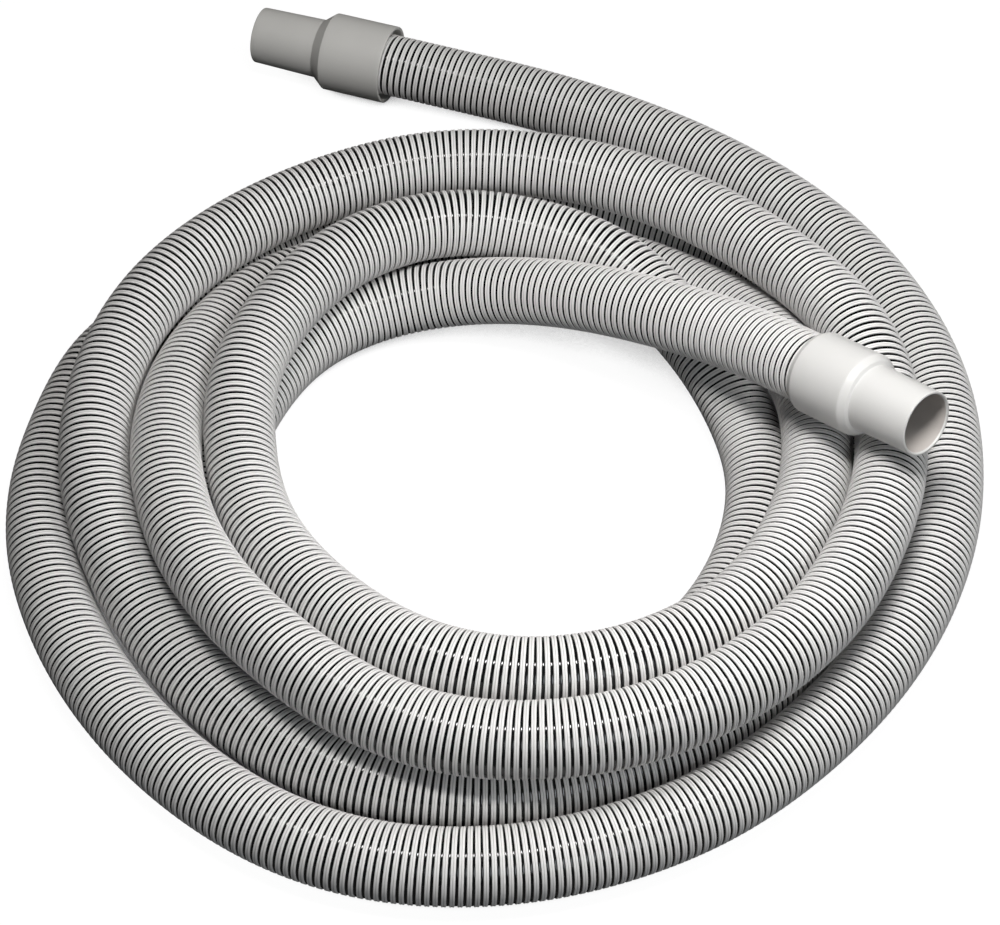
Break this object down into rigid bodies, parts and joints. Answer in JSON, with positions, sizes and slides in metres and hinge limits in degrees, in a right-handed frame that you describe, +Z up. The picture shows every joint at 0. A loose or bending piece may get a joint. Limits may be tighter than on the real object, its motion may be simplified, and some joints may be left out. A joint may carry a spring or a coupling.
{
  "type": "pool vacuum hose",
  "caption": "Spiral-wound flexible pool vacuum hose lying in a loose coil, with a swivel cuff on one end and a fixed cuff on the other.",
  "frame": {"origin": "on the floor, under the middle of the outline of hose and cuffs", "axes": "+Z up from the floor; +Y from the coil towards the end with the swivel cuff, +X towards the side where the fixed cuff lies on the coil"},
  "size_m": [0.6335, 0.8002, 0.1508],
  "materials": {
    "hose": "satin ribs over a glossy dark liner",
    "grey_cuff": "satin moulded",
    "white_cuff": "satin moulded",
    "bushing": "moulded",
    "washer": "smooth acetal",
    "rubber": "matte"
  },
  "bodies": {
    "coil": {"hose_turn_1a": "hose", "hose_turn_1b": "hose", "hose_turn_1c": "hose", "hose_turn_1d": "hose", "hose_turn_2a": "hose", "hose_turn_2b": "hose", "hose_turn_2c": "hose", "hose_turn_2d": "hose", "hose_turn_3a": "hose", "hose_turn_3b": "hose", "hose_turn_3c": "hose", "hose_turn_3d": "hose", "hose_turn_4a": "hose", "hose_turn_4b": "hose", "hose_turn_4c": "hose", "hose_turn_4d": "hose", "hose_turn_5a": "hose", "hose_turn_5b": "hose", "hose_turn_5c": "hose", "hose_turn_5d": "hose"},
    "swivel_end_1": {"hose_swivel_end_1": "hose"},
    "swivel_end_2": {"hose_swivel_end_2": "hose"},
    "swivel_end_3": {"hose_swivel_end_3": "hose"},
    "swivel_end_4": {"hose_swivel_end_4": "hose", "swivel_bushing": "bushing", "swivel_oring": "rubber"},
    "swivel_cuff": {"swivel_cuff_body": "grey_cuff", "retaining_ring": "bushing", "thrust_washer": "washer"},
    "fixed_end_1": {"hose_fixed_end_1": "hose"},
    "fixed_end_2": {"hose_fixed_end_2": "hose"},
    "fixed_end_3": {"hose_fixed_end_3": "hose", "fixed_cuff": "white_cuff"}
  },
  "joints": [
    {"name": "swivel_end_sideways", "type": "hinge", "parent": "coil", "child": "swivel_end_1", "pos_m": [0.19324, 0.20442, 0.023], "axis": [0, 0, 1], "range_deg": [-12, 10]},
    {"name": "swivel_end_lift", "type": "hinge", "parent": "swivel_end_1", "child": "swivel_end_2", "pos_m": [0.13151, 0.25514, 0.02303], "axis": [0.5643, 0.8256, 0], "range_deg": [0, 12]},
    {"name": "swivel_end_sideways_2", "type": "hinge", "parent": "swivel_end_2", "child": "swivel_end_3", "pos_m": [0.06189, 0.29435, 0.02378], "axis": [0, 0, 1], "range_deg": [-12, 10]},
    {"name": "swivel_end_lift_2", "type": "hinge", "parent": "swivel_end_3", "child": "swivel_end_4", "pos_m": [-0.01265, 0.3232, 0.02572], "axis": [0.3073, 0.9516, 0], "range_deg": [0, 12]},
    {"name": "swivel_cuff_turn", "type": "hinge", "parent": "swivel_end_4", "child": "swivel_cuff", "pos_m": [-0.12677, 0.3599, 0.02976], "axis": [0.9427, -0.3334, -0.0082], "continuous": true},
    {"name": "fixed_end_lift", "type": "hinge", "parent": "coil", "child": "fixed_end_1", "pos_m": [0.04924, 0.05578, 0.06193], "axis": [-0.5014, -0.8652, 0], "range_deg": [0, 12]},
    {"name": "fixed_end_sideways", "type": "hinge", "parent": "fixed_end_1", "child": "fixed_end_2", "pos_m": [0.12201, 0.008, 0.08455], "axis": [0, 0, 1], "range_deg": [-12, 0]},
    {"name": "fixed_end_lift_2", "type": "hinge", "parent": "fixed_end_2", "child": "fixed_end_3", "pos_m": [0.17992, -0.04379, 0.10287], "axis": [-0.7392, -0.6735, 0], "range_deg": [0, 12]}
  ],
  "couplings": [
    {"joint": "swivel_end_sideways_2", "follows": "swivel_end_sideways", "ratio": 1},
    {"joint": "swivel_end_lift_2", "follows": "swivel_end_lift", "ratio": 1},
    {"joint": "fixed_end_lift_2", "follows": "fixed_end_lift", "ratio": 1}
  ]
}
